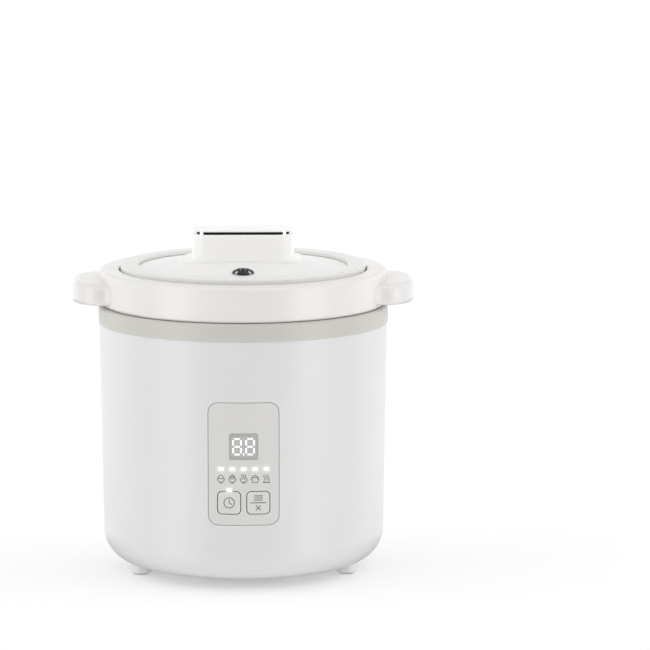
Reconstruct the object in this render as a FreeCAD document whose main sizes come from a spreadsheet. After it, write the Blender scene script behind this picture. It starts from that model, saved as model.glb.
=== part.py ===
import FreeCAD, Part
import os
import re
import math
import Sketcher
from FreeCAD import Vector, Rotation, Placement

# Rice cooker: casing with a heated well, lift-out ceramic pot, lift-off lid.
# Millimetres, +Z up, origin on the floor under the middle, front towards -Y.

doc = FreeCAD.newDocument("rice_cooker")

# ---------------------------------------------------------------- dimensions
DIMS = {
    # casing
    "hous_flat": 6.0, "hous_top": 182.0, "hous_rad_bot": 102.2, "hous_rad_top": 105.0,
    "hous_wall": 2.8, "hous_fillet": 24.0, "base_rebate_rad": 70.4, "base_ledge_rad": 61.0,
    "base_rebate_top": 8.7, "base_ledge_top": 11.5,
    # ring on the casing
    "ring_rad": 105.6, "ring_top": 195.0, "well_rad": 92.0, "shelf_rad": 82.0,
    "shelf_under": 175.0,
    # well
    "liner_rad": 80.6, "liner_gauge": 1.0, "liner_floor": 75.5,
    # heater and sensor
    "plate_top": 77.8, "plate_under": 68.8, "plate_rad": 64.5, "plate_bore": 15.3,
    "coil_rad": 44.0, "coil_wire": 4.0, "lug_rad": 75.0, "lug_width": 14.0, "lug_bolt_rad": 71.5,
    "sensor_rad": 14.6, "sensor_top": 80.9, "sensor_foot": 66.0, "bracket_floor": 50.0,
    # pot
    "pot_foot": 78.2, "pot_rad": 77.3, "pot_bore": 72.3, "pot_floor": 84.8, "pot_recess": 81.2,
    "collar_bot": 195.2, "collar_top": 221.2, "collar_rad": 104.9, "collar_rad_low": 103.2,
    "seat_rad": 90.6, "seat_level": 215.8, "ear_reach": 124.2, "ear_half": 39.0,
    "ear_low": 198.2, "ear_high": 214.2, "pot_split": 198.6,
    # lid
    "lid_low": 215.95, "lid_high": 225.0, "lid_rad": 89.4, "lid_bore": 76.3,
    "dome_rad": 484.0, "dome_top": 228.3, "dome_edge": 82.0, "dome_gauge": 4.0,
    "vent_front": 56.0, "pad_top": 229.7, "knob_long": 74.5, "knob_wide": 33.5,
    "knob_top": 247.2, "trim_top": 249.2, "cap_top": 250.2, "knob_screw": 22.0,
    # front panel
    "panel_wide": 50.2, "panel_tall": 88.3, "panel_mid": 94.15, "panel_round": 7.0,
    "panel_gap": 0.35, "window_wide": 20.6, "window_tall": 19.2, "window_mid": 106.9,
    "digit_wide": 6.9, "digit_tall": 12.5, "digit_shift": 4.65, "stroke": 1.25,
    "light_wide": 3.9, "light_tall": 2.5, "light_pitch": 8.1, "light_level": 90.6,
    "key_side": 15.9, "key_hole": 17.1, "key_shift": 10.4, "key_level": 66.15, "key_round": 3.0,
    "key_light_level": 75.4,
    "board_back": 86.0, "board_face": 87.6,
    # feet
    "foot_x": 75.0, "foot_y": 28.0, "foot_rad_low": 7.4, "foot_rad_high": 8.6, "foot_low": 0.6,
    # inlet
    "inlet_level": 48.0, "inlet_wide": 27.6, "inlet_tall": 19.6, "inlet_face": 104.6,
    # supply board
    "supply_low": 17.0, "supply_gauge": 1.6, "supply_wide": 76.0, "supply_deep": 52.0, "supply_mid": 6.0,
}
sheet = doc.addObject("Spreadsheet::Sheet", "Dims")
for row, (alias, number) in enumerate(DIMS.items(), start=1):
    sheet.set("A%d" % row, alias)
    sheet.set("B%d" % row, str(number))
    sheet.setAlias("B%d" % row, alias)
doc.recompute()

TOKEN = re.compile(r"\s*(?:(\d+\.?\d*)|([A-Za-z_]\w*)|(.))")


def number_of(text):
    # value of a sum such as "ring_top - 2*hous_wall", read from the sheet's dimensions
    toks = []
    for num, word, sign in TOKEN.findall(str(text)):
        if num:
            toks.append(float(num))
        elif word:
            toks.append(float(DIMS[word]))
        elif sign.strip():
            toks.append(sign)
    pos = [0]

    def peek():
        return toks[pos[0]] if pos[0] < len(toks) else None

    def take():
        pos[0] += 1
        return toks[pos[0] - 1]

    def factor():
        tok = take()
        if tok == "-":
            return -factor()
        if tok == "+":
            return factor()
        if tok == "(":
            inside = total()
            take()
            return inside
        return tok

    def product():
        left = factor()
        while peek() in ("*", "/"):
            if take() == "*":
                left *= factor()
            else:
                left /= factor()
        return left

    def total():
        left = product()
        while peek() in ("+", "-"):
            if take() == "+":
                left += product()
            else:
                left -= product()
        return left

    return total()


def linked(text):
    return re.sub(r"[A-Za-z_]\w*", lambda found: "Dims." + found.group(0), str(text))


def bind(obj, prop, text):
    obj.setExpression(prop, linked(text))


def place(obj, x="0", y="0", z="0", turn=None):
    obj.Placement = Placement(Vector(number_of(x), number_of(y), number_of(z)),
                              turn if turn is not None else Rotation())
    for name, text in (("x", x), ("y", y), ("z", z)):
        if re.search(r"[A-Za-z]", str(text)):
            bind(obj, "Placement.Base." + name, text)
    return obj


ALONG_Y = Rotation(Vector(1, 0, 0), -90)
ALONG_X = Rotation(Vector(0, 1, 0), 90)


def cylinder(name, rad, tall, x="0", y="0", z="0", turn=None):
    obj = doc.addObject("Part::Cylinder", name)
    obj.Radius, obj.Height = number_of(rad), number_of(tall)
    bind(obj, "Radius", rad)
    bind(obj, "Height", tall)
    return place(obj, x, y, z, turn)


def cone(name, low, high, tall, x="0", y="0", z="0"):
    obj = doc.addObject("Part::Cone", name)
    bind(obj, "Radius1", low)
    bind(obj, "Radius2", high)
    bind(obj, "Height", tall)
    return place(obj, x, y, z)


def block(name, long, deep, tall, x="0", y="0", z="0"):
    # centred on x and y, standing on z
    obj = doc.addObject("Part::Box", name)
    bind(obj, "Length", long)
    bind(obj, "Width", deep)
    bind(obj, "Height", tall)
    return place(obj, "(%s)-(%s)/2" % (x, long), "(%s)-(%s)/2" % (y, deep), z)


def fused(name, items):
    obj = doc.addObject("Part::MultiFuse", name)
    obj.Shapes = items
    return obj


def minus(name, base, tools):
    obj = doc.addObject("Part::Cut", name)
    obj.Base = base
    obj.Tool = tools[0] if len(tools) == 1 else fused(name + "_tools", tools)
    return obj


def shared(name, one, two):
    obj = doc.addObject("Part::Common", name)
    obj.Base = one
    obj.Tool = two
    return obj


def group(name, items):
    obj = doc.addObject("Part::Compound", name)
    obj.Links = items
    return obj


def rounded(name, base, rad, chosen):
    doc.recompute()
    obj = doc.addObject("Part::Fillet", name)
    obj.Base = base
    found = [(i, rad, rad) for i, e in enumerate(base.Shape.Edges, start=1) if chosen(e)]
    if not found:
        raise RuntimeError("no edge for " + name)
    obj.Edges = found
    return obj


def plane_of(body, role):
    for item in body.Origin.OriginFeatures:
        if item.Role == role:
            return item
    raise RuntimeError(role)


def new_sketch(body, name, role):
    sk = body.newObject("Sketcher::SketchObject", name + "_sketch")
    sk.AttachmentSupport = [(plane_of(body, role), "")]
    sk.MapMode = "FlatFace"
    return sk


def dimension(sk, kind, args, text):
    # zero-length dimensions become point-on-axis constraints
    value = number_of(text)
    index = sk.addConstraint(Sketcher.Constraint(kind, *args, value))
    if re.search(r"[A-Za-z]", str(text)):
        sk.setExpression("Constraints[%d]" % index, linked(text))


def locate(sk, geo, end, x, y):
    if abs(number_of(x)) < 1e-9:
        sk.addConstraint(Sketcher.Constraint("PointOnObject", geo, end, -2))
    else:
        dimension(sk, "DistanceX", (-1, 1, geo, end), x)
    if abs(number_of(y)) < 1e-9:
        sk.addConstraint(Sketcher.Constraint("PointOnObject", geo, end, -1))
    else:
        dimension(sk, "DistanceY", (-1, 1, geo, end), y)


def on_circle(edge, rad, level, cx=0.0, cy=0.0):
    c = edge.Curve
    return (c.__class__.__name__ == "Circle" and abs(c.Radius - rad) < 0.02
            and abs(c.Center.z - level) < 0.02 and abs(c.Center.x - cx) < 0.05 and abs(c.Center.y - cy) < 0.05)


def turned(name, points, rounds=()):
    # body of revolution about Z from a closed outline of (radius, level) texts
    body = doc.addObject("PartDesign::Body", name)
    sk = new_sketch(body, name, "XZ_Plane")
    xy = [(number_of(a), number_of(b)) for a, b in points]
    count = len(xy)
    for i in range(count):
        a, b = xy[i], xy[(i + 1) % count]
        sk.addGeometry(Part.LineSegment(Vector(a[0], a[1], 0), Vector(b[0], b[1], 0)), False)
    for i in range(count):
        sk.addConstraint(Sketcher.Constraint("Coincident", i, 2, (i + 1) % count, 1))
    for i, (a, b) in enumerate(points):
        locate(sk, i, 1, a, b)
    rev = body.newObject("PartDesign::Revolution", name + "_turn")
    rev.Profile = sk
    rev.ReferenceAxis = (sk, ["V_Axis"])
    rev.Angle = 360.0
    doc.recompute()
    last = rev
    for k, (a, b, rad) in enumerate(rounds):
        ra, lv = number_of(a), number_of(b)
        names = ["Edge%d" % n for n, e in enumerate(last.Shape.Edges, start=1) if on_circle(e, ra, lv)]
        if not names:
            raise RuntimeError("%s: no edge at %s, %s" % (name, a, b))
        fil = body.newObject("PartDesign::Fillet", "%s_round%d" % (name, k))
        fil.Base = (last, names)
        fil.Radius = number_of(rad)
        if re.search(r"[A-Za-z]", str(rad)):
            bind(fil, "Radius", rad)
        doc.recompute()
        if fil.Shape.isNull() or not fil.Shape.isValid() or "Invalid" in fil.State:
            raise RuntimeError("%s: round at %s, %s failed" % (name, a, b))
        last = fil
    body.Tip = last
    return body


def slab(name, role, cx, cy, wide, tall, rad, length, x="0", y="0", z="0"):
    # rounded rectangle padded along its plane's normal (XY: +Z, XZ: -Y)
    body = doc.addObject("PartDesign::Body", name)
    sk = new_sketch(body, name, role)
    w, t, r = number_of(wide) / 2.0, number_of(tall) / 2.0, number_of(rad)
    ox, oy = number_of(cx), number_of(cy)

    def at(px, py):
        return Vector(ox + px, oy + py, 0)

    corners = [(w - r, t - r, 0.0), (-w + r, t - r, 90.0), (-w + r, -t + r, 180.0), (w - r, -t + r, 270.0)]
    lines = [(at(w - r, t), at(-w + r, t)), (at(-w, t - r), at(-w, -t + r)),
             (at(-w + r, -t), at(w - r, -t)), (at(w, -t + r), at(w, t - r))]
    for a, b in lines:
        sk.addGeometry(Part.LineSegment(a, b), False)
    # arcs 4..7 join line 3-0, 0-1, 1-2, 2-3
    for px, py, start in corners:
        circle = Part.Circle(at(px, py), Vector(0, 0, 1), r)
        sk.addGeometry(Part.ArcOfCircle(circle, math.radians(start), math.radians(start + 90.0)), False)
    tie = sk.addConstraint
    tie(Sketcher.Constraint("Tangent", 4, 1, 3, 2))
    tie(Sketcher.Constraint("Tangent", 4, 2, 0, 1))
    tie(Sketcher.Constraint("Tangent", 5, 1, 0, 2))
    tie(Sketcher.Constraint("Tangent", 5, 2, 1, 1))
    tie(Sketcher.Constraint("Tangent", 6, 1, 1, 2))
    tie(Sketcher.Constraint("Tangent", 6, 2, 2, 1))
    tie(Sketcher.Constraint("Tangent", 7, 1, 2, 2))
    tie(Sketcher.Constraint("Tangent", 7, 2, 3, 1))
    tie(Sketcher.Constraint("Horizontal", 0))
    tie(Sketcher.Constraint("Horizontal", 2))
    tie(Sketcher.Constraint("Vertical", 1))
    tie(Sketcher.Constraint("Vertical", 3))
    tie(Sketcher.Constraint("Equal", 4, 5))
    tie(Sketcher.Constraint("Equal", 5, 6))
    tie(Sketcher.Constraint("Equal", 6, 7))
    index = tie(Sketcher.Constraint("Radius", 4, r))
    if re.search(r"[A-Za-z]", str(rad)):
        sk.setExpression("Constraints[%d]" % index, linked(rad))

    def side(geo, kind, text):
        # distance of a straight side from the origin
        if abs(number_of(text)) < 1e-9:
            tie(Sketcher.Constraint("PointOnObject", geo, 1, -1 if kind == "DistanceY" else -2))
        else:
            dimension(sk, kind, (-1, 1, geo, 1), text)

    side(3, "DistanceX", "(%s)+(%s)/2" % (cx, wide))
    side(1, "DistanceX", "(%s)-(%s)/2" % (cx, wide))
    side(0, "DistanceY", "(%s)+(%s)/2" % (cy, tall))
    side(2, "DistanceY", "(%s)-(%s)/2" % (cy, tall))
    pad = body.newObject("PartDesign::Pad", name + "_pad")
    pad.Profile = sk
    pad.Length = number_of(length)
    if re.search(r"[A-Za-z]", str(length)):
        bind(pad, "Length", length)
    body.Tip = pad
    return place(body, x, y, z)


NODES = []


def node(obj, label):
    obj.Label = label
    NODES.append((label, obj))
    return obj


def upright(e):
    if e.Curve.__class__.__name__ != "Line":
        return False
    d = e.tangentAt(e.FirstParameter)
    return abs(abs(d.z) - 1.0) < 1e-6


def tube(points, rad, bend):
    # round wire along straight runs joined by tangent arcs
    pts = [Vector(*p) for p in points]
    edges = []
    here = pts[0]
    for k in range(1, len(pts) - 1):
        a = (pts[k - 1] - pts[k]).normalize()
        b = (pts[k + 1] - pts[k]).normalize()
        half = math.acos(max(-1.0, min(1.0, a.dot(b)))) / 2.0
        cutback = bend / math.tan(half)
        one = pts[k] + a * cutback
        two = pts[k] + b * cutback
        mid_dir = (a + b).normalize()
        centre = pts[k] + mid_dir * (bend / math.sin(half))
        middle = centre - mid_dir * bend
        edges.append(Part.makeLine(here, one))
        edges.append(Part.Arc(one, middle, two).toShape())
        here = two
    edges.append(Part.makeLine(here, pts[-1]))
    path = Part.Wire(edges)
    heading = (pts[1] - pts[0]).normalize()
    ring = Part.Wire([Part.makeCircle(rad, pts[0], heading)])
    return path.makePipeShell([ring], True, False)


def wires(name, runs, rad, bend):
    obj = doc.addObject("Part::Feature", name)
    obj.Shape = Part.makeCompound([tube(r, rad, bend) for r in runs])
    return node(obj, name)


# ---------------------------------------------------------------- casing
SIDE = "hous_rad_bot+(hous_rad_top-hous_rad_bot)*((%s)-hous_flat)/(hous_top-hous_flat)"


def side_at(level, inset="0"):
    return (SIDE % level) + "-(" + inset + ")"


def skin(name, outer, inner, low="40", high="150"):
    # band parallel to the casing's side, between two insets
    return turned(name, [(side_at(low, inner), low), (side_at(low, outer), low),
                         (side_at(high, outer), high), (side_at(high, inner), high)])


hull = turned("casing_hull", [
    ("base_rebate_rad", "hous_flat"), ("hous_rad_bot", "hous_flat"), ("hous_rad_top", "hous_top"),
    ("hous_rad_top-hous_wall", "hous_top"), (side_at("base_ledge_top", "hous_wall"), "base_ledge_top"),
    ("base_ledge_rad", "base_ledge_top"), ("base_ledge_rad", "base_rebate_top"),
    ("base_rebate_rad", "base_rebate_top")],
    [("hous_rad_bot", "hous_flat", "hous_fillet"),
     (side_at("base_ledge_top", "hous_wall"), "base_ledge_top", "hous_fillet-3.5")])
panel_hole = slab("casing_panel_hole", "XZ_Plane", "0", "panel_mid", "panel_wide+2*panel_gap",
                  "panel_tall+2*panel_gap", "panel_round+panel_gap", "40", y="-80")
inlet_hole = slab("casing_inlet_hole", "XZ_Plane", "0", "inlet_level", "inlet_wide+0.4",
                  "inlet_tall+0.4", "1.5", "40", y="120")
casing_holes = []
for i in range(4):
    a = math.radians(45 + 90 * i)
    casing_holes.append(cylinder("casing_screw_hole%d" % i, "1.5", "6",
                                 "65.5*%.6f" % math.cos(a), "65.5*%.6f" % math.sin(a), "base_rebate_top-1"))
node(minus("outer_housing", hull, [panel_hole, inlet_hole] + casing_holes), "outer_housing")

ring_hull = turned("ring_hull", [
    ("ring_rad", "hous_top"), ("ring_rad", "ring_top"), ("well_rad", "ring_top"),
    ("well_rad", "shelf_under+6"), ("shelf_rad", "shelf_under+2.5"), ("shelf_rad", "shelf_under"),
    ("well_rad+2.5", "shelf_under"), ("well_rad+2.5", "ring_top-2.7"),
    ("hous_rad_top-5.4", "ring_top-2.7"), ("hous_rad_top-5.4", "hous_top-6.5"),
    ("hous_rad_top-3", "hous_top-6.5"), ("hous_rad_top-3", "hous_top")],
    [("ring_rad", "ring_top", "1.8"), ("well_rad", "ring_top", "1.2"), ("ring_rad", "hous_top", "0.5")])
ring_holes = []
liner_holes = []
liner_screws = []
for i in range(3):
    a = math.radians(30 + 120 * i)
    px, py = "88*%.6f" % math.cos(a), "88*%.6f" % math.sin(a)
    ring_holes.append(cylinder("ring_screw_hole%d" % i, "1.25", "3.4", px, py, "shelf_under-0.1"))
    liner_holes.append(cylinder("liner_screw_hole%d" % i, "1.5", "3", px, py, "shelf_under-2"))
    liner_screws.append(fused("liner_screw%d" % i, [
        cylinder("liner_screw_head%d" % i, "2.8", "1.6", px, py, "shelf_under-liner_gauge-1.6"),
        cylinder("liner_screw_shank%d" % i, "1.2", "4.4", px, py, "shelf_under-liner_gauge-0.6")]))
node(minus("top_ring", ring_hull, ring_holes), "top_ring")

liner_hull = turned("liner_hull", [
    ("liner_rad", "shelf_under"), ("well_rad", "shelf_under"), ("well_rad", "shelf_under-liner_gauge"),
    ("liner_rad+liner_gauge", "shelf_under-liner_gauge"), ("liner_rad+liner_gauge", "liner_floor"),
    ("67.5", "liner_floor"), ("67.5", "liner_floor+liner_gauge"), ("liner_rad", "liner_floor+liner_gauge")])

# ---------------------------------------------------------------- heater
lugs = []
lug_bolts = []
lug_nuts = []
lug_holes = []
for i in range(3):
    deg = 90 + 120 * i
    a = math.radians(deg)
    lug = doc.addObject("Part::Box", "plate_lug%d" % i)
    bind(lug, "Length", "lug_rad-55")
    bind(lug, "Width", "lug_width")
    bind(lug, "Height", "liner_floor-plate_under-2")
    turn = Rotation(Vector(0, 0, 1), deg)
    corner = turn.multVec(Vector(55, -number_of("lug_width") / 2, 0))
    lug.Placement = Placement(Vector(corner.x, corner.y, number_of("plate_under+2")), turn)
    bind(lug, "Placement.Base.z", "plate_under+2")
    lugs.append(lug)
    px, py = "lug_bolt_rad*%.6f" % math.cos(a), "lug_bolt_rad*%.6f" % math.sin(a)
    lug_holes.append(cylinder("lug_hole%d" % i, "2.2", "20", px, py, "plate_under-4"))
    lug_bolts.append(fused("lug_bolt%d" % i, [
        cylinder("lug_bolt_head%d" % i, "3.5", "2.6", px, py, "plate_under-0.6"),
        cylinder("lug_bolt_shank%d" % i, "1.95", "8.6", px, py, "plate_under+1.2")]))
    hexagon = doc.addObject("Part::Prism", "lug_nut_hex%d" % i)
    hexagon.Polygon = 6
    hexagon.Circumradius = 3.6
    hexagon.Height = 2.6
    place(hexagon, px, py, "liner_floor+liner_gauge")
    lug_nuts.append(minus("lug_nut%d" % i, hexagon, [
        cylinder("lug_nut_bore%d" % i, "2", "6", px, py, "liner_floor")]))

node(minus("inner_liner", liner_hull, liner_holes + [
    cylinder("liner_lug_hole%d" % i, "2.2", "6",
             "lug_bolt_rad*%.6f" % math.cos(math.radians(90 + 120 * i)),
             "lug_bolt_rad*%.6f" % math.sin(math.radians(90 + 120 * i)), "liner_floor-2")
    for i in range(3)]), "inner_liner")
node(group("liner_screws", liner_screws), "liner_screws")

plate_disc = turned("plate_disc", [
    ("plate_bore", "plate_under"), ("plate_rad", "plate_under"), ("plate_rad", "plate_top"),
    ("plate_bore", "plate_top")], [("plate_rad", "plate_top", "3"), ("plate_bore", "plate_top", "0.6")])
groove = doc.addObject("Part::Torus", "plate_groove")
bind(groove, "Radius1", "coil_rad")
bind(groove, "Radius2", "coil_wire+0.1")
place(groove, z="plate_under")
node(minus("heating_plate", fused("plate_with_lugs", [plate_disc] + lugs), [groove] + lug_holes), "heating_plate")

coil = doc.addObject("Part::Torus", "coil_ring")
bind(coil, "Radius1", "coil_rad")
bind(coil, "Radius2", "coil_wire")
coil.Angle3 = 310.0
place(coil, z="plate_under", turn=Rotation(Vector(0, 0, 1), 115))
pins = []
for i, deg in enumerate((117.5, 62.5)):
    a = math.radians(deg)
    pins.append(cylinder("coil_pin%d" % i, "2.2", "plate_under-52",
                         "coil_rad*%.6f" % math.cos(a), "coil_rad*%.6f" % math.sin(a), "52"))
node(fused("heater_element", [coil] + pins), "heater_element")
node(group("heater_bolts", lug_bolts), "heater_bolts")
node(group("heater_nuts", lug_nuts), "heater_nuts")

# ---------------------------------------------------------------- sensor
node(turned("sensor_cap", [
    ("0", "sensor_top"), ("sensor_rad", "sensor_top"), ("sensor_rad", "sensor_foot+1.2"),
    ("sensor_rad+2.4", "sensor_foot+1.2"), ("sensor_rad+2.4", "sensor_foot"),
    ("sensor_rad-1.2", "sensor_foot"), ("sensor_rad-1.2", "sensor_top-1.5"), ("0", "sensor_top-1.5")],
    [("sensor_rad", "sensor_top", "1.2")]), "sensor_cap")
node(cylinder("thermistor", "3", "8", "0", "0", "sensor_top-9.5"), "thermistor")
node(turned("sensor_bracket", [
    ("0", "bracket_floor"), ("20.4", "bracket_floor"), ("20.4", "plate_under-1.2"),
    ("27", "plate_under-1.2"), ("27", "plate_under"), ("19.2", "plate_under"),
    ("19.2", "bracket_floor+1.2"), ("4", "bracket_floor+1.2"), ("4", "bracket_floor+10"),
    ("0", "bracket_floor+10")]), "sensor_bracket")

spring_low, spring_high = number_of("bracket_floor+1.2"), number_of("sensor_top-1.5")
spring_wire = 0.7
spring_turns, spring_sides = 5, 6
spring_pts = []
for k in range(spring_turns * spring_sides + 1):
    a = 2.0 * math.pi * k / spring_sides
    rise = (spring_high - spring_low - 2 * spring_wire - 0.2) * k / (spring_turns * spring_sides)
    spring_pts.append((9.9 * math.cos(a), 9.9 * math.sin(a), spring_low + spring_wire + 0.1 + rise))
wires("sensor_spring", [spring_pts], spring_wire, 0.47 * 9.9 / math.tan(math.pi / spring_sides))
node(cylinder("thermal_fuse", "3", "14", "-7", "-33.5", "plate_under-3", ALONG_X), "thermal_fuse")

# ---------------------------------------------------------------- bottom plate, feet
cover_disc = cylinder("cover_disc", "base_rebate_rad-0.2", "base_rebate_top-hous_flat-0.05", z="hous_flat")
posts = []
post_bores = []
board_bores = []
board_screws = []
for i, (sx, sy) in enumerate(((-1, -1), (1, -1), (1, 1), (-1, 1))):
    px = "%d*(supply_wide/2-5)" % sx
    py = "supply_mid+%d*(supply_deep/2-5)" % sy
    posts.append(cylinder("post%d" % i, "3.2", "supply_low-base_rebate_top+1", px, py, "base_rebate_top-1"))
    post_bores.append(cylinder("post_bore%d" % i, "1.45", "6", px, py, "supply_low-5.5"))
    board_bores.append(cylinder("board_bore%d" % i, "1.6", "6", px, py, "supply_low-2"))
    board_screws.append(fused("board_screw%d" % i, [
        cylinder("board_screw_head%d" % i, "2.8", "1.8", px, py, "supply_low+supply_gauge"),
        cylinder("board_screw_shank%d" % i, "1.35", "6.5", px, py, "supply_low+supply_gauge-6")]))
cover_cuts = []
base_screws = []
for i in range(4):
    a = math.radians(45 + 90 * i)
    px, py = "65.5*%.6f" % math.cos(a), "65.5*%.6f" % math.sin(a)
    cover_cuts.append(cylinder("cover_hole%d" % i, "1.8", "8", px, py, "hous_flat-2"))
    head = cylinder("base_screw_head%d" % i, "3.2", "1.7", px, py, "hous_flat-1.7")
    shank = cylinder("base_screw_shank%d" % i, "1.4", "5.6", px, py, "hous_flat-0.3")
    slot_a = block("base_screw_slot_a%d" % i, "4", "0.9", "0.8", px, py, "hous_flat-1.8")
    slot_b = block("base_screw_slot_b%d" % i, "0.9", "4", "0.8", px, py, "hous_flat-1.8")
    base_screws.append(minus("base_screw%d" % i, fused("base_screw_raw%d" % i, [head, shank]), [slot_a, slot_b]))
for i in range(7):
    cover_cuts.append(block("cover_slot%d" % i, "3", "44", "8", "%d" % (-24 + 8 * i), "-38", "hous_flat-2"))
node(minus("base_cover", fused("cover_with_posts", [cover_disc] + posts), cover_cuts + post_bores), "base_cover")
node(group("base_screws", base_screws), "base_screws")

envelope = turned("casing_envelope", [
    ("0", "hous_flat"), ("hous_rad_bot", "hous_flat"), ("hous_rad_top", "hous_top"), ("0", "hous_top")],
    [("hous_rad_bot", "hous_flat", "hous_fillet")])
feet = []
pads = []
for i, (sx, sy) in enumerate(((-1, -1), (1, -1), (1, 1), (-1, 1))):
    px, py = "%d*foot_x" % sx, "%d*foot_y" % sy
    peg = cone("foot_peg%d" % i, "foot_rad_low", "foot_rad_high", "16", px, py, "foot_low")
    cx, cy = number_of(px), number_of(py)
    soft = rounded("foot_soft%d" % i, peg, 1.6,
                   lambda e, cx=cx, cy=cy: on_circle(e, DIMS["foot_rad_low"], DIMS["foot_low"], cx, cy))
    cup = cylinder("foot_cup%d" % i, "5.2", "1", px, py, "foot_low-0.2")
    feet.append(minus("foot%d" % i, soft, [envelope, cup]))
    pads.append(cylinder("foot_pad%d" % i, "5.1", "foot_low+0.8", px, py, "0"))
node(group("feet", feet), "feet")
node(group("foot_pads", pads), "foot_pads")

# ---------------------------------------------------------------- mains inlet
inlet_body = slab("inlet_body", "XZ_Plane", "0", "inlet_level", "inlet_wide", "inlet_tall", "1.3",
                  "inlet_face-80", y="inlet_face")
inlet_flange = slab("inlet_flange", "XZ_Plane", "0", "inlet_level", "inlet_wide+5", "inlet_tall+5", "3",
                    "1.4", y="inlet_face")
cavity = slab("inlet_cavity", "XZ_Plane", "0", "inlet_level", "24", "15.8", "3", "16", y="inlet_face+0.01")
blades = []
blade_cuts = []
for i, (px, up) in enumerate((("-7", "-2"), ("7", "-2"), ("0", "2"))):
    blades.append(block("blade%d" % i, "2", "28", "4", px, "inlet_face-18.5", "inlet_level+(%s)-2" % up))
    blade_cuts.append(block("blade_cut%d" % i, "2", "28", "4", px, "inlet_face-18.5", "inlet_level+(%s)-2" % up))
node(minus("mains_inlet", fused("inlet_raw", [inlet_body, inlet_flange]), [cavity] + blade_cuts), "mains_inlet")
node(group("inlet_pins", blades), "inlet_pins")

# ---------------------------------------------------------------- supply board
node(minus("power_board", block("board_sheet", "supply_wide", "supply_deep", "supply_gauge",
                                "0", "supply_mid", "supply_low"), board_bores), "power_board")
node(group("board_screws", board_screws), "board_screws")
TOP = "supply_low+supply_gauge"
core = block("transformer_core", "28", "22", "20", "-18", "-3", TOP + "+2")
bobbin = block("transformer_bobbin", "20", "28", "16", "-18", "-3", TOP)
node(fused("transformer", [core, bobbin]), "transformer")
node(block("relay", "19", "15", "15", "22", "2", TOP), "relay")
can = cylinder("capacitor_can", "6", "16", "2", "-10", TOP)
node(rounded("capacitor", can, 0.8, lambda e: on_circle(e, 6, number_of(TOP) + 16, 2, -10)), "capacitor")
terminal = block("terminal_raw", "30", "9", "11", "0", "25.5", TOP)
node(terminal, "terminal_block")
pin_x = DIMS["coil_rad"] * math.cos(math.radians(62.5))
pin_y = DIMS["coil_rad"] * math.sin(math.radians(62.5))
term_top = number_of(TOP) + 11.0
wires("heater_leads", [[(s * pin_x, pin_y, 52.0), (s * pin_x, pin_y, 37.5), (s * 9.5, 25.5, 37.5),
                        (s * 9.5, 25.5, term_top)] for s in (-1, 1)], 1.4, 5.0)
blade_end = number_of("inlet_face-32.5")
wires("mains_leads", [[(s * 7, blade_end, 46.0), (s * 7, blade_end - 14, 46.0), (s * 4, 44.0, 24.0),
                       (s * 4, 30.0, 24.0)] for s in (-1, 1)], 1.4, 6.0)
ribbon_low = block("ribbon_low", "12", "65.8", "0.8", "0", "-52.9", TOP)
ribbon_up = block("ribbon_up", "12", "0.8", "36", "0", "-(board_back-0.4)", TOP)
node(fused("panel_ribbon", [ribbon_low, ribbon_up]), "panel_ribbon")

# ---------------------------------------------------------------- front panel
face_band = skin("panel_face_band", "0", "hous_wall+0.1")
rear_band = skin("panel_rear_band", "hous_wall+0.05", "hous_wall+1.8")
face = shared("panel_face", face_band, slab("panel_face_cut", "XZ_Plane", "0", "panel_mid", "panel_wide",
                                            "panel_tall", "panel_round", "40", y="-80"))
rear = shared("panel_rear", rear_band, slab("panel_rear_cut", "XZ_Plane", "0", "panel_mid", "panel_wide+7",
                                            "panel_tall+6", "panel_round+2.5", "40", y="-80"))
stand = []
stand_bores = []
sheet_bores = []
panel_screws = []
for i, (px, pz) in enumerate((("-18.5", "84"), ("18.5", "84"), ("-18.5", "118"), ("18.5", "118"))):
    stand.append(cylinder("stand%d" % i, "2.3", "10.4", px, "-98", pz, ALONG_Y))
    stand_bores.append(cylinder("stand_bore%d" % i, "1.1", "6", px, "-board_face-5.5", pz, ALONG_Y))
    sheet_bores.append(cylinder("sheet_bore%d" % i, "1.3", "6", px, "-board_face-2", pz, ALONG_Y))
    panel_screws.append(fused("panel_screw%d" % i, [
        cylinder("panel_screw_head%d" % i, "2.4", "1.5", px, "-board_back", pz, ALONG_Y),
        cylinder("panel_screw_shank%d" % i, "1", "6.5", px, "-board_back-6", pz, ALONG_Y)]))
window_hole = slab("window_hole", "XZ_Plane", "0", "window_mid", "window_wide+0.1", "window_tall+0.1", "1.5",
                   "40", y="-80")
key_holes = [slab("key_hole%d" % i, "XZ_Plane", "%d*key_shift" % s, "key_level", "key_hole", "key_hole",
                  "key_round+0.6", "40", y="-80") for i, s in enumerate((-1, 1))]
LIGHTS = [("%d*light_pitch" % k, "light_level") for k in (-2, -1, 0, 1, 2)] + [("-key_shift", "key_light_level")]
light_holes = [slab("light_hole%d" % i, "XZ_Plane", px, pz, "light_wide+0.1", "light_tall+0.1", "0.8",
                    "40", y="-80") for i, (px, pz) in enumerate(LIGHTS)]
node(minus("control_panel", fused("panel_raw", [face, rear] + stand),
           [window_hole] + key_holes + light_holes + stand_bores), "control_panel")

light_band = skin("light_band", "0", "12")
short_band = skin("light_short_band", "0", "4.4")
lights = [shared("light%d" % i, light_band if i < 5 else short_band,
                 slab("light_cut%d" % i, "XZ_Plane", px, pz, "light_wide", "light_tall", "0.75", "40", y="-80"))
          for i, (px, pz) in enumerate(LIGHTS)]
node(group("mode_lights", lights[:5]), "mode_lights")
node(lights[5], "preset_light")

window_band = skin("window_band", "0.05", "2.4")
window_raw = shared("window_raw", window_band, slab("window_cut", "XZ_Plane", "0", "window_mid", "window_wide",
                                                    "window_tall", "1.45", "40", y="-80"))


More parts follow.
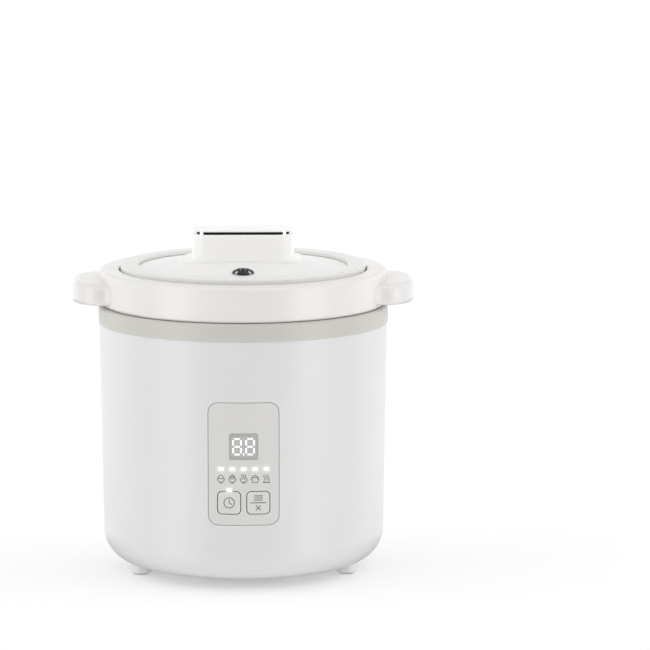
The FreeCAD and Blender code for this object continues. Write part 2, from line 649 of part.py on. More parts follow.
def digit_bars(tag, mid):
    # seven bars and the point of one digit
    bars = []
    across = "digit_wide-2*stroke-0.5"
    along = "(digit_tall-3*stroke)/2-0.5"
    for k, level in enumerate(("window_mid-digit_tall/2", "window_mid-stroke/2", "window_mid+digit_tall/2-stroke")):
        bars.append(block("%s_across%d" % (tag, k), across, "8", "stroke", mid, "-103", level))
    for k, (sx, sz) in enumerate(((-1, -1), (1, -1), (-1, 1), (1, 1))):
        level = "window_mid+%d*((digit_tall-3*stroke)/4+stroke/2)-(%s)/2" % (sz, along)
        bars.append(block("%s_along%d" % (tag, k), "stroke", "8", along,
                          "%s+%d*(digit_wide-stroke)/2" % (mid, sx), "-103", level))
    return bars


def digit_set(tag):
    point = block(tag + "_point", "stroke", "8", "stroke", "0", "-103", "window_mid-digit_tall/2")
    return group(tag, digit_bars(tag + "_left", "-digit_shift") + [point] + digit_bars(tag + "_right", "digit_shift"))


node(minus("display_window", window_raw, [digit_set("window_slots")]), "display_window")
digit_band = skin("digit_band", "0.05", "1.6")
node(shared("digit_segments", digit_set("digit_bars"), digit_band), "digit_segments")

key_band = skin("key_band", "0", "6.2")
flange_band = skin("key_flange_band", "5", "6.2")
for s, label in ((-1, "preset_button"), (1, "menu_button")):
    px = "%d*key_shift" % s
    cap = shared(label + "_cap", key_band, slab(label + "_cap_cut", "XZ_Plane", px, "key_level", "key_side",
                                                "key_side", "key_round", "40", y="-80"))
    rim = shared(label + "_rim", flange_band, slab(label + "_rim_cut", "XZ_Plane", px, "key_level",
                                                   "key_hole+1.8", "key_hole+1.8", "key_round+1", "40", y="-80"))
    stem = cylinder(label + "_stem", "2.2", "3", px, "-97.6", "key_level", ALONG_Y)
    node(fused(label, [cap, rim, stem]), label)

node(minus("display_board", block("display_sheet", "44", "board_face-board_back", "70", "0",
                                  "-(board_face+board_back)/2", "52"), sheet_bores), "display_board")
node(group("panel_screws", panel_screws), "panel_screws")
node(block("led_display", "19.4", "9", "18", "0", "-board_face-4.5", "window_mid-9"), "led_display")
switches = []
for i, s in enumerate((-1, 1)):
    px = "%d*key_shift" % s
    switches.append(fused("switch%d" % i, [
        block("switch_body%d" % i, "6", "3.6", "6", px, "-board_face-1.8", "key_level-3"),
        cylinder("switch_stem%d" % i, "1.7", "2.4", px, "-board_face-5.4", "key_level", ALONG_Y)]))
node(group("key_switches", switches), "key_switches")
node(group("status_leds", [block("status_led%d" % i, "2", "1.4", "1.2", px, "-board_face-0.7", "(%s)-0.6" % pz)
                           for i, (px, pz) in enumerate(LIGHTS)]), "status_leds")

# ---------------------------------------------------------------- pot
pot_round = turned("pot_round", [
    ("collar_rad_low", "collar_bot"), ("collar_rad", "collar_top"), ("seat_rad", "collar_top"),
    ("seat_rad", "seat_level"), ("81.6", "seat_level"), ("81", "seat_level-2.4"), ("76.8", "seat_level-2.4"),
    ("pot_bore", "seat_level-10"), ("pot_bore", "pot_floor"), ("0", "pot_floor"), ("0", "pot_recess"),
    ("24", "pot_recess"), ("25.2", "pot_foot"), ("pot_rad", "pot_foot"), ("pot_rad", "seat_level-9.5"),
    ("85.5", "seat_level-5.2"), ("95", "seat_level-5.2"), ("98.6", "seat_level-1.8"),
    ("collar_rad_low-5", "collar_bot")],
    [("pot_bore", "pot_floor", "20"), ("pot_rad", "pot_foot", "19"), ("seat_rad", "collar_top", "1.1"),
     ("81.6", "seat_level", "0.7"), ("76.8", "seat_level-2.4", "2.2"), ("pot_bore", "seat_level-10", "8"),
     ("collar_rad_low-5", "collar_bot", "1.4"), ("pot_rad", "seat_level-9.5", "4"),
     ("collar_rad", "collar_top", "2.4"), ("collar_rad_low", "collar_bot", "2.4")])
ear_disc = cylinder("ear_disc", "collar_rad_low-0.2", "ear_high-ear_low", z="ear_low")
ear_blocks = [block("ear_block%d" % i, "ear_reach-60", "2*ear_half", "ear_high-ear_low",
                    "%d*(ear_reach+60)/2" % s, "0", "ear_low") for i, s in enumerate((-1, 1))]
ear_plan = fused("ear_plan", [ear_disc] + ear_blocks)


def ear_tip(e):
    return upright(e) and abs(abs(e.Vertexes[0].Point.x) - DIMS["ear_reach"]) < 0.01


def ear_root(e):
    return upright(e) and 90.0 < abs(e.Vertexes[0].Point.x) < 100.0


def ear_rim(e):
    b = e.BoundBox
    return b.ZLength < 0.01 and (abs(b.ZMin - DIMS["ear_low"]) < 0.01 or abs(b.ZMin - DIMS["ear_high"]) < 0.01)


ear_tips = rounded("ear_tips", ear_plan, 24.0, ear_tip)
ear_roots = rounded("ear_roots", ear_tips, 13.0, ear_root)
ear_soft = rounded("ear_soft", ear_roots, 4.5, ear_rim)
ears = minus("ears", ear_soft, [cylinder("ear_clear", "101", "60", "0", "0", "ear_low-20")])
pot_whole = fused("pot_whole", [pot_round, ears])
pot_core = cylinder("pot_core", "pot_rad+2", "pot_split-60", z="60")
node(shared("inner_pot", pot_whole, pot_core), "inner_pot")
node(minus("pot_collar", pot_whole, [pot_core]), "pot_collar")

# ---------------------------------------------------------------- lid
dome = doc.addObject("PartDesign::Body", "dome")
dome_sketch = new_sketch(dome, "dome", "XZ_Plane")
big, edge_rad, top, gauge = DIMS["dome_rad"], DIMS["dome_edge"], DIMS["dome_top"], DIMS["dome_gauge"]
lift = math.sqrt(big * big - edge_rad * edge_rad)
upper = Part.Circle(Vector(0, top - big, 0), Vector(0, 0, 1), big)
lower = Part.Circle(Vector(0, top - gauge - big, 0), Vector(0, 0, 1), big)
swing = math.atan2(lift, edge_rad)
dome_sketch.addGeometry(Part.ArcOfCircle(upper, swing, math.pi / 2), False)
dome_sketch.addGeometry(Part.ArcOfCircle(lower, swing, math.pi / 2), False)
dome_sketch.addGeometry(Part.LineSegment(Vector(0, top, 0), Vector(0, top - gauge, 0)), False)
dome_sketch.addGeometry(Part.LineSegment(Vector(edge_rad, top - big + lift, 0),
                                         Vector(edge_rad, top - gauge - big + lift, 0)), False)
tie = dome_sketch.addConstraint
tie(Sketcher.Constraint("Coincident", 0, 2, 2, 1))
tie(Sketcher.Constraint("Coincident", 1, 2, 2, 2))
tie(Sketcher.Constraint("Coincident", 0, 1, 3, 1))
tie(Sketcher.Constraint("Coincident", 1, 1, 3, 2))
tie(Sketcher.Constraint("PointOnObject", 0, 3, -2))
tie(Sketcher.Constraint("PointOnObject", 1, 3, -2))
tie(Sketcher.Constraint("Vertical", 3))
dimension(dome_sketch, "DistanceY", (-1, 1, 0, 2), "dome_top")
dimension(dome_sketch, "DistanceY", (-1, 1, 1, 2), "dome_top-dome_gauge")
dimension(dome_sketch, "DistanceX", (-1, 1, 0, 1), "dome_edge")
tie(Sketcher.Constraint("PointOnObject", 0, 2, -2))
dimension(dome_sketch, "Radius", (0,), "dome_rad")
dimension(dome_sketch, "Radius", (1,), "dome_rad")
dome_turn = dome.newObject("PartDesign::Revolution", "dome_turn")
dome_turn.Profile = dome_sketch
dome_turn.ReferenceAxis = (dome_sketch, ["V_Axis"])
dome_turn.Angle = 360.0
dome.Tip = dome_turn

vent_y = DIMS["vent_front"]
vent_z = top - big + math.sqrt(big * big - vent_y * vent_y)
vent_tilt = Rotation(Vector(1, 0, 0), math.degrees(math.asin(vent_y / big)))
vent_place = Placement(Vector(0, -vent_y, vent_z), vent_tilt)
vent_hole = cylinder("vent_hole", "6.1", "30")
vent_hole.Placement = vent_place.multiply(Placement(Vector(0, 0, -15), Rotation()))
screw_holes = [cylinder("dome_hole%d" % i, "1.9", "40", "%d*knob_screw" % s, "0", "lid_low")
               for i, s in enumerate((-1, 1))]
node(minus("lid_panel", dome, [vent_hole] + screw_holes), "lid_panel")

node(turned("lid_rim", [
    ("78", "lid_low"), ("lid_rad-0.4", "lid_low"), ("lid_rad", "lid_high"), ("lid_bore", "lid_high"),
    ("lid_bore", "lid_high-2.5"), ("dome_edge+0.1", "lid_high-3.4"), ("dome_edge+0.1", "lid_low+1.2"),
    ("78", "lid_low+1.9")],
    [("lid_rad-0.4", "lid_low", "1.6"), ("lid_rad", "lid_high", "1.5"), ("lid_bore", "lid_high", "0.9")]), "lid_rim")
node(turned("lid_seal", [
    ("77.4", "lid_low-2.15"), ("80.2", "lid_low-2.15"), ("80.2", "lid_low"), ("77.4", "lid_low")],
    [("80.2", "lid_low-2.15", "0.8"), ("77.4", "lid_low-2.15", "0.8")]), "lid_seal")

pad_raw = slab("pad_raw", "XY_Plane", "0", "0", "knob_long+11.5", "knob_wide+9", "18", "pad_top-225.5", z="225.5")
node(minus("handle_base", pad_raw, [dome, cylinder("pad_hole0", "1.9", "20", "-knob_screw", "0", "220"),
                                    cylinder("pad_hole1", "1.9", "20", "knob_screw", "0", "220")]), "handle_base")
knob_raw = slab("knob_raw", "XY_Plane", "0", "0", "knob_long", "knob_wide", "12", "knob_top-pad_top", z="pad_top")
knob_soft = rounded("knob_soft", knob_raw, 1.3,
                    lambda e: e.BoundBox.ZLength < 0.01 and abs(e.BoundBox.ZMin - DIMS["knob_top"]) < 0.01)
knob_void = slab("knob_void", "XY_Plane", "0", "0", "knob_long-6", "knob_wide-6", "9", "knob_top-pad_top-3.5",
                 z="pad_top-0.01")
bosses = [cylinder("knob_boss%d" % i, "5", "knob_top-pad_top-3", "%d*knob_screw" % s, "0", "pad_top")
          for i, s in enumerate((-1, 1))]
boss_bores = [cylinder("knob_bore%d" % i, "1.6", "11.5", "%d*knob_screw" % s, "0", "pad_top-0.01")
              for i, s in enumerate((-1, 1))]
node(minus("lid_handle", fused("knob_filled", [minus("knob_shell", knob_soft, [knob_void])] + bosses), boss_bores),
     "lid_handle")
trim_raw = slab("trim_raw", "XY_Plane", "0", "0", "knob_long-2.8", "knob_wide-2.8", "10.6", "trim_top-knob_top",
                z="knob_top")
trim_void = slab("trim_void", "XY_Plane", "0", "0", "knob_long-12", "knob_wide-12", "6", "6", z="knob_top-1")
node(minus("handle_trim", trim_raw, [trim_void]), "handle_trim")
cap_raw = slab("cap_raw", "XY_Plane", "0", "0", "knob_long-1.8", "knob_wide-1.8", "11.1", "cap_top-trim_top",
               z="trim_top")
node(rounded("handle_top", cap_raw, 0.45,
             lambda e: e.BoundBox.ZLength < 0.01 and abs(e.BoundBox.ZMin - DIMS["cap_top"]) < 0.01), "handle_top")
screws = []
for i, s in enumerate((-1, 1)):
    px = "%d*knob_screw" % s
    seat = top - gauge - big + math.sqrt(big * big - (DIMS["knob_screw"] + 4.0) ** 2) - 0.05
    screws.append(fused("handle_screw%d" % i, [
        cylinder("handle_screw_head%d" % i, "4", "2.4", px, "0", "%.4f" % (seat - 2.4)),
        cylinder("handle_screw_shank%d" % i, "1.5", "17.4", px, "0", "%.4f" % (seat - 0.4))]))
node(group("handle_screws", screws), "handle_screws")

vent_round = turned("vent_round", [
    ("0", "2.7"), ("5.4", "2.3"), ("7.6", "1.2"), ("8", "0.06"), ("5.9", "0.06"), ("5.9", "-4.15"),
    ("7.2", "-4.15"), ("7.2", "-5.2"), ("5", "-5.2"), ("5", "0.9"), ("0", "1.2")],
    [("7.6", "1.2", "0.8"), ("5.4", "2.3", "1.5")])
vent_bores = [cylinder("vent_bore0", "1.2", "8")]
for i in range(6):
    a = math.radians(30 + 60 * i)
    vent_bores.append(cylinder("vent_bore%d" % (i + 1), "1.25", "8", "3.5*%.6f" % math.cos(a), "3.5*%.6f" % math.sin(a)))
vent = minus("steam_vent", vent_round, vent_bores)
vent.Placement = vent_place
node(vent, "steam_vent")

# ---------------------------------------------------------------- test and write
doc.recompute()
bad = []
for obj in doc.Objects:
    if "Invalid" in obj.State or "Error" in obj.State:
        bad.append(obj.Name + " " + ",".join(obj.State))
for label, obj in NODES:
    shape = obj.Shape
    if shape.isNull() or not shape.isValid() or not shape.Solids:
        bad.append(label + " has no valid shape")
if bad:
    raise RuntimeError("; ".join(bad))
os.makedirs("parts", exist_ok=True)
for label, obj in NODES:
    shape = obj.Shape
    shape.exportStep("parts/" + label + ".step")
    b = shape.BoundBox
    print("%-16s solids %2d  vol %9.1f  x %7.1f %7.1f  y %7.1f %7.1f  z %7.1f %7.1f" % (
        label, len(shape.Solids), shape.Volume, b.XMin, b.XMax, b.YMin, b.YMax, b.ZMin, b.ZMax))
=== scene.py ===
import math

import bmesh
import bpy
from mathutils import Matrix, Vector


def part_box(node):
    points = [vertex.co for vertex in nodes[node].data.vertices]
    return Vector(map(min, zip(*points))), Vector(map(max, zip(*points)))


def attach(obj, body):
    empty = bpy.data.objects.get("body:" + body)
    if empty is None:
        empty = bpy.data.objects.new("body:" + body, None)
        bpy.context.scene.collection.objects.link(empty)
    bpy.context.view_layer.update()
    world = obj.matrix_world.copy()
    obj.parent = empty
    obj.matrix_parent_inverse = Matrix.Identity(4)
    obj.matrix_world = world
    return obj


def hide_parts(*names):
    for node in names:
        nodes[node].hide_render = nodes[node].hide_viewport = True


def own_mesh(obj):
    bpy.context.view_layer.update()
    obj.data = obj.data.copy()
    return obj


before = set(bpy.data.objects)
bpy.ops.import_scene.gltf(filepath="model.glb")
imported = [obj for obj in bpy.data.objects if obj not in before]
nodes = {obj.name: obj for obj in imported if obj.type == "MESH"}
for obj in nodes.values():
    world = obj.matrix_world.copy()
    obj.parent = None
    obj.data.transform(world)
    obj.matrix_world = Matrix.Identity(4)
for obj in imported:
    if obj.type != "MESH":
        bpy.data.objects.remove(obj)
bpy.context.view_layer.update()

scene = bpy.context.scene


# ------------------------------------------------------------------ node helpers
class Tree:
    """Shader nodes of one material or world."""

    def __init__(self, tree, fresh=True):
        self.tree = tree
        if fresh:
            self.tree.nodes.clear()

    def new(self, kind, **props):
        item = self.tree.nodes.new(kind)
        for key, value in props.items():
            setattr(item, key, value)
        return item

    def put(self, socket, value):
        if isinstance(value, bpy.types.NodeSocket):
            self.tree.links.new(value, socket)
        else:
            socket.default_value = value

    def math(self, op, a, b=None, c=None, clamp=False):
        item = self.new("ShaderNodeMath", operation=op, use_clamp=clamp)
        self.put(item.inputs[0], a)
        if b is not None:
            self.put(item.inputs[1], b)
        if c is not None:
            self.put(item.inputs[2], c)
        return item.outputs[0]

    def step(self, value, low, high, to_low=0.0, to_high=1.0, smooth=True):
        item = self.new("ShaderNodeMapRange", interpolation_type="SMOOTHSTEP" if smooth else "LINEAR")
        self.put(item.inputs["Value"], value)
        item.inputs["From Min"].default_value = low
        item.inputs["From Max"].default_value = high
        item.inputs["To Min"].default_value = to_low
        item.inputs["To Max"].default_value = to_high
        return item.outputs["Result"]

    def mix(self, factor, a, b, blend="MIX"):
        item = self.new("ShaderNodeMix", data_type="RGBA", blend_type=blend)
        self.put(item.inputs[0], factor)
        self.put(item.inputs[6], a)
        self.put(item.inputs[7], b)
        return item.outputs[2]

    def place(self, scale=(1.0, 1.0, 1.0), shift=(0.0, 0.0, 0.0), turn=(0.0, 0.0, 0.0)):
        coord = self.new("ShaderNodeTexCoord")
        mapping = self.new("ShaderNodeMapping")
        mapping.inputs["Location"].default_value = shift
        mapping.inputs["Rotation"].default_value = turn
        mapping.inputs["Scale"].default_value = scale
        self.tree.links.new(coord.outputs["Object"], mapping.inputs["Vector"])
        return mapping.outputs["Vector"]

    def noise(self, vector, scale, detail=2.0, rough=0.5, warp=0.0):
        item = self.new("ShaderNodeTexNoise")
        self.put(item.inputs["Vector"], vector)
        item.inputs["Scale"].default_value = scale
        item.inputs["Detail"].default_value = detail
        item.inputs["Roughness"].default_value = rough
        item.inputs["Distortion"].default_value = warp
        return item.outputs["Fac"]

    def cells(self, vector, scale, feature="F1", spread=1.0):
        item = self.new("ShaderNodeTexVoronoi", feature=feature)
        self.put(item.inputs["Vector"], vector)
        item.inputs["Scale"].default_value = scale
        item.inputs["Randomness"].default_value = spread
        return item.outputs["Distance"]

    def bump(self, height, strength, distance, under=None):
        item = self.new("ShaderNodeBump")
        item.inputs["Strength"].default_value = strength
        item.inputs["Distance"].default_value = distance
        self.put(item.inputs["Height"], height)
        if under is not None:
            self.put(item.inputs["Normal"], under)
        return item.outputs["Normal"]


def rgb(r, g, b):
    # 0..255 display values to linear
    def one(v):
        v = v / 255.0
        return v / 12.92 if v <= 0.04045 else ((v + 0.055) / 1.055) ** 2.4
    return (one(r), one(g), one(b), 1.0)


def shade(colour, k):
    return (min(1.0, colour[0] * k), min(1.0, colour[1] * k), min(1.0, colour[2] * k), 1.0)


def start(name):
    mat = bpy.data.materials.new(name)
    mat.use_nodes = True
    t = Tree(mat.node_tree)
    out = t.new("ShaderNodeOutputMaterial")
    surf = t.new("ShaderNodeBsdfPrincipled")
    t.tree.links.new(surf.outputs["BSDF"], out.inputs["Surface"])
    return mat, t, surf


def moulded(name, colour, rough=0.36, vary=0.018, grain=1500.0, relief=0.05, coat=0.0, coat_rough=0.1, level=0.5,
            soft=0.0, tint=None, seed=0.0):
    """Moulded plastic: faint flow clouds in the colour, fine spark-eroded grain, patchy gloss."""
    mat, t, s = start(name)
    here = t.place(shift=(seed, seed * 0.37, seed * 0.71))
    cloud = t.noise(here, 9.0, 3.0, 0.55)
    flow = t.noise(t.place(scale=(1.0, 1.0, 0.35), shift=(seed + 0.3, 0.1, 0.2)), 34.0, 2.0, 0.5)
    speck = t.noise(here, 620.0, 1.0, 0.5)
    base = t.mix(t.step(cloud, 0.3, 0.7), shade(colour, 1.0 - vary), shade(colour, 1.0 + vary))
    base = t.mix(t.step(flow, 0.35, 0.65, 0.0, 0.35), base, tint or shade(colour, 1.0 - 1.4 * vary))
    base = t.mix(t.step(speck, 0.62, 0.8, 0.0, 0.25), base, shade(colour, 1.0 - 3.0 * vary))
    t.put(s.inputs["Base Color"], base)
    t.put(s.inputs["Roughness"], t.step(t.noise(here, 46.0, 3.0, 0.6), 0.3, 0.7, rough - 0.035, rough + 0.035))
    fine = t.noise(here, grain, 2.0, 0.6)
    wave = t.noise(here, 70.0, 1.0, 0.5)
    height = t.math("ADD", t.math("MULTIPLY", fine, 0.25), t.math("MULTIPLY", wave, 0.75))
    t.put(s.inputs["Normal"], t.bump(height, relief, 0.0003))
    s.inputs["Specular IOR Level"].default_value = level
    s.inputs["Coat Weight"].default_value = coat
    s.inputs["Coat Roughness"].default_value = coat_rough
    if soft:
        s.inputs["Subsurface Weight"].default_value = soft
        s.inputs["Subsurface Radius"].default_value = (0.004, 0.0035, 0.003)
        s.inputs["Subsurface Scale"].default_value = 1.0
    return mat


def metal(name, colour, rough=0.3, along=None, vary=0.06, relief=0.06, turned=False, spots=0.0):
    """Metal with brushed or turned lines, or a plain fine grain."""
    mat, t, s = start(name)
    if turned:
        # rings round the upright axis
        coord = t.new("ShaderNodeTexCoord")
        split = t.new("ShaderNodeSeparateXYZ")
        t.put(split.inputs[0], coord.outputs["Object"])
        far = t.math("SQRT", t.math("ADD", t.math("MULTIPLY", split.outputs[0], split.outputs[0]),
                                    t.math("MULTIPLY", split.outputs[1], split.outputs[1])))
        join = t.new("ShaderNodeCombineXYZ")
        t.put(join.inputs[0], far)
        t.put(join.inputs[1], t.math("MULTIPLY", split.outputs[2], 0.9))
        lines = t.noise(join.outputs[0], 2600.0, 3.0, 0.6)
    elif along == "x":
        lines = t.noise(t.place(scale=(0.012, 1.0, 1.0)), 3600.0, 3.0, 0.6)
    elif along == "z":
        lines = t.noise(t.place(scale=(1.0, 1.0, 0.012)), 3200.0, 3.0, 0.6)
    else:
        lines = t.noise(t.place(), 1400.0, 3.0, 0.6)
    cloud = t.noise(t.place(shift=(0.7, 0.2, 0.4)), 38.0, 3.0, 0.6)
    base = t.mix(t.step(lines, 0.3, 0.7), shade(colour, 1.0 - vary), shade(colour, 1.0 + vary))
    base = t.mix(t.step(cloud, 0.35, 0.7, 0.0, 0.4), base, shade(colour, 1.0 - 1.5 * vary))
    if spots:
        pit = t.noise(t.place(shift=(0.1, 0.5, 0.9)), 420.0, 2.0, 0.7)
        base = t.mix(t.step(pit, 0.6, 0.72, 0.0, spots), base, shade(colour, 0.45))
    t.put(s.inputs["Base Color"], base)
    s.inputs["Metallic"].default_value = 1.0
    mixed = t.math("ADD", t.math("MULTIPLY", lines, 0.6), t.math("MULTIPLY", cloud, 0.4))
    t.put(s.inputs["Roughness"], t.step(mixed, 0.3, 0.7, max(0.02, rough * 0.75), rough * 1.25))
    t.put(s.inputs["Normal"], t.bump(lines, relief, 0.0003))
    return mat


def lamp(name, colour, glow, power):
    """Lit diffuser, faintly mottled."""
    mat, t, s = start(name)
    here = t.place()
    mottle = t.noise(here, 900.0, 2.0, 0.5)
    t.put(s.inputs["Base Color"], t.mix(t.step(mottle, 0.3, 0.7), shade(colour, 0.95), colour))
    t.put(s.inputs["Roughness"], t.step(mottle, 0.3, 0.7, 0.3, 0.38))
    t.put(s.inputs["Emission Color"], t.mix(t.step(mottle, 0.25, 0.75), shade(glow, 0.96), glow))
    s.inputs["Emission Strength"].default_value = power
    return mat


def glaze():
    """Fired ceramic: white body, clear glaze with slight ripple, greyer inside the vessel."""
    mat, t, s = start("glazed_ceramic")
    coord = t.new("ShaderNodeTexCoord")
    split = t.new("ShaderNodeSeparateXYZ")
    t.put(split.inputs[0], coord.outputs["Object"])
    far = t.math("SQRT", t.math("ADD", t.math("MULTIPLY", split.outputs[0], split.outputs[0]),
                                t.math("MULTIPLY", split.outputs[1], split.outputs[1])))
    inside = t.math("MULTIPLY", t.step(far, 0.0758, 0.0766, 1.0, 0.0), t.step(split.outputs[2], 0.0832, 0.0842))
    here = t.place()
    cloud = t.noise(here, 11.0, 4.0, 0.55)
    fleck = t.noise(here, 900.0, 1.0, 0.5)
    white = rgb(234, 232, 230)
    grey = rgb(236, 235, 227)
    base = t.mix(t.step(cloud, 0.3, 0.7), shade(white, 0.975), shade(white, 1.01))
    bowl = t.mix(t.step(cloud, 0.3, 0.7), shade(grey, 0.97), shade(grey, 1.01))
    base = t.mix(inside, base, bowl)
    base = t.mix(t.step(fleck, 0.68, 0.8, 0.0, 0.10), base, rgb(206, 203, 196))
    # unglazed ring under the foot
    foot = t.step(split.outputs[2], 0.0784, 0.0788, 1.0, 0.0)
    base = t.mix(foot, base, rgb(214, 205, 190))
    t.put(s.inputs["Base Color"], base)
    pool = t.noise(here, 55.0, 2.0, 0.5)
    t.put(s.inputs["Roughness"], t.math("ADD", t.step(pool, 0.3, 0.7, 0.31, 0.36), t.math("MULTIPLY", foot, 0.4)))
    ripple = t.noise(here, 60.0, 1.0, 0.5)
    pin = t.noise(here, 900.0, 1.0, 0.5)
    height = t.math("ADD", t.math("MULTIPLY", ripple, 0.9), t.math("MULTIPLY", pin, 0.1))
    t.put(s.inputs["Normal"], t.bump(height, 0.02, 0.0003))
    s.inputs["Coat Weight"].default_value = 0.35
    s.inputs["Coat Roughness"].default_value = 0.28
    s.inputs["Coat IOR"].default_value = 1.5
    return mat


def rubber(name, colour, rough=0.75):
    mat, t, s = start(name)
    here = t.place()
    dust = t.noise(here, 160.0, 4.0, 0.65)
    grain = t.noise(here, 1900.0, 2.0, 0.6)
    base = t.mix(t.step(dust, 0.4, 0.75), colour, shade(colour, 1.35))
    t.put(s.inputs["Base Color"], base)
    t.put(s.inputs["Roughness"], t.step(dust, 0.3, 0.7, rough - 0.08, rough + 0.08))
    t.put(s.inputs["Normal"], t.bump(grain, 0.12, 0.0004))
    s.inputs["Sheen Weight"].default_value = 0.12
    return mat


def circuit(name):
    """Laminate with a weave, copper runs under the mask and tinned pads."""
    mat, t, s = start(name)
    here = t.place()
    weave = t.math("MULTIPLY", t.noise(t.place(scale=(1.0, 0.05, 1.0)), 1500.0), t.noise(t.place(scale=(0.05, 1.0, 1.0)), 1500.0))
    brick = t.new("ShaderNodeTexBrick")
    brick.offset = 0.37
    t.put(brick.inputs["Vector"], t.place(turn=(0.0, 0.0, 0.0)))
    brick.inputs["Scale"].default_value = 60.0
    brick.inputs["Mortar Size"].default_value = 0.035
    brick.inputs["Brick Width"].default_value = 0.7
    brick.inputs["Row Height"].default_value = 0.21
    runs = brick.outputs["Fac"]
    pads = t.cells(here, 210.0, spread=0.35)
    base = t.mix(t.step(weave, 0.1, 0.4), rgb(24, 84, 48), rgb(34, 104, 60))
    base = t.mix(t.math("MULTIPLY", runs, 0.6), base, rgb(70, 132, 74))
    dot = t.step(pads, 0.16, 0.2, 1.0, 0.0)
    base = t.mix(dot, base, rgb(196, 196, 190))
    t.put(s.inputs["Base Color"], base)
    t.put(s.inputs["Metallic"], t.math("MULTIPLY", dot, 0.8))
    t.put(s.inputs["Roughness"], t.step(weave, 0.1, 0.4, 0.32, 0.42))
    t.put(s.inputs["Normal"], t.bump(t.math("ADD", runs, weave), 0.15, 0.0001))
    return mat


def two_leads(name, left, right):
    """Insulated wire, one colour each side of the middle."""
    mat, t, s = start(name)
    coord = t.new("ShaderNodeTexCoord")
    split = t.new("ShaderNodeSeparateXYZ")
    t.put(split.inputs[0], coord.outputs["Object"])
    side = t.step(split.outputs[0], -0.0002, 0.0002)
    scuff = t.noise(t.place(), 300.0, 3.0, 0.6)
    base = t.mix(side, left, right)
    base = t.mix(t.step(scuff, 0.45, 0.75, 0.0, 0.18), base, rgb(220, 214, 200))
    t.put(s.inputs["Base Color"], base)
    t.put(s.inputs["Roughness"], t.step(scuff, 0.3, 0.7, 0.42, 0.55))
    t.put(s.inputs["Normal"], t.bump(scuff, 0.05, 0.0003))
    return mat


def flat_cable():
    mat, t, s = start("flat_cable")
    coord = t.new("ShaderNodeTexCoord")
    split = t.new("ShaderNodeSeparateXYZ")
    t.put(split.inputs[0], coord.outputs["Object"])
    cell = t.math("FRACT", t.math("MULTIPLY", split.outputs[0], 787.4))
    ridge = t.math("PINGPONG", cell, 0.5)
    # darker lines along the grooves between the wires: painted shade in the creases
    painted_groove_shade = t.step(ridge, 0.02, 0.16, 1.0, 0.0)
    base = t.mix(painted_groove_shade, rgb(176, 178, 180), rgb(120, 122, 124))
    first = t.step(split.outputs[0], -0.00485, -0.0047, 1.0, 0.0)
    base = t.mix(first, base, rgb(170, 40, 36))
    t.put(s.inputs["Base Color"], base)
    t.put(s.inputs["Roughness"], t.step(t.noise(t.place(), 200.0), 0.3, 0.7, 0.4, 0.55))
    t.put(s.inputs["Normal"], t.bump(ridge, 0.4, 0.0004))
    return mat


def smoked(name, colour):
    """Grey acrylic window, polished face with faint depth mottling."""
    mat, t, s = start(name)
    here = t.place()
    cloud = t.noise(here, 240.0, 2.0, 0.5)
    base = t.mix(t.step(cloud, 0.3, 0.7), shade(colour, 0.97), shade(colour, 1.03))
    t.put(s.inputs["Base Color"], base)
    t.put(s.inputs["Roughness"], t.step(cloud, 0.3, 0.7, 0.29, 0.33))
    t.put(s.inputs["Normal"], t.bump(t.noise(here, 500.0), 0.02, 0.0002))
    return mat


def light_spill(mat, lit, reach, power):
    """Light that spreads on a face round lit windows, each a middle and half size in X and Z."""
    t = Tree(mat.node_tree, fresh=False)
    s = next(n for n in mat.node_tree.nodes if n.type == "BSDF_PRINCIPLED")
    coord = t.new("ShaderNodeTexCoord")
    split = t.new("ShaderNodeSeparateXYZ")
    t.put(split.inputs[0], coord.outputs["Object"])
    glow = None
    for mid_x, mid_z, half_x, half_z in lit:
        dx = t.math("MAXIMUM", t.math("SUBTRACT", t.math("ABSOLUTE", t.math("SUBTRACT", split.outputs[0], mid_x)), half_x), 0.0)
        dz = t.math("MAXIMUM", t.math("SUBTRACT", t.math("ABSOLUTE", t.math("SUBTRACT", split.outputs[2], mid_z)), half_z), 0.0)
        far = t.math("SQRT", t.math("ADD", t.math("MULTIPLY", dx, dx), t.math("MULTIPLY", dz, dz)))
        one = t.step(far, 0.0, reach, 1.0, 0.0)
        glow = one if glow is None else t.math("MAXIMUM", glow, one)
    # only on the front
    glow = t.math("MULTIPLY", glow, t.step(split.outputs[1], -0.098, -0.096, 1.0, 0.0))
    t.put(s.inputs["Emission Color"], t.mix(glow, (0.0, 0.0, 0.0, 1.0), (1.0, 1.0, 1.0, 1.0)))
    s.inputs["Emission Strength"].default_value = power


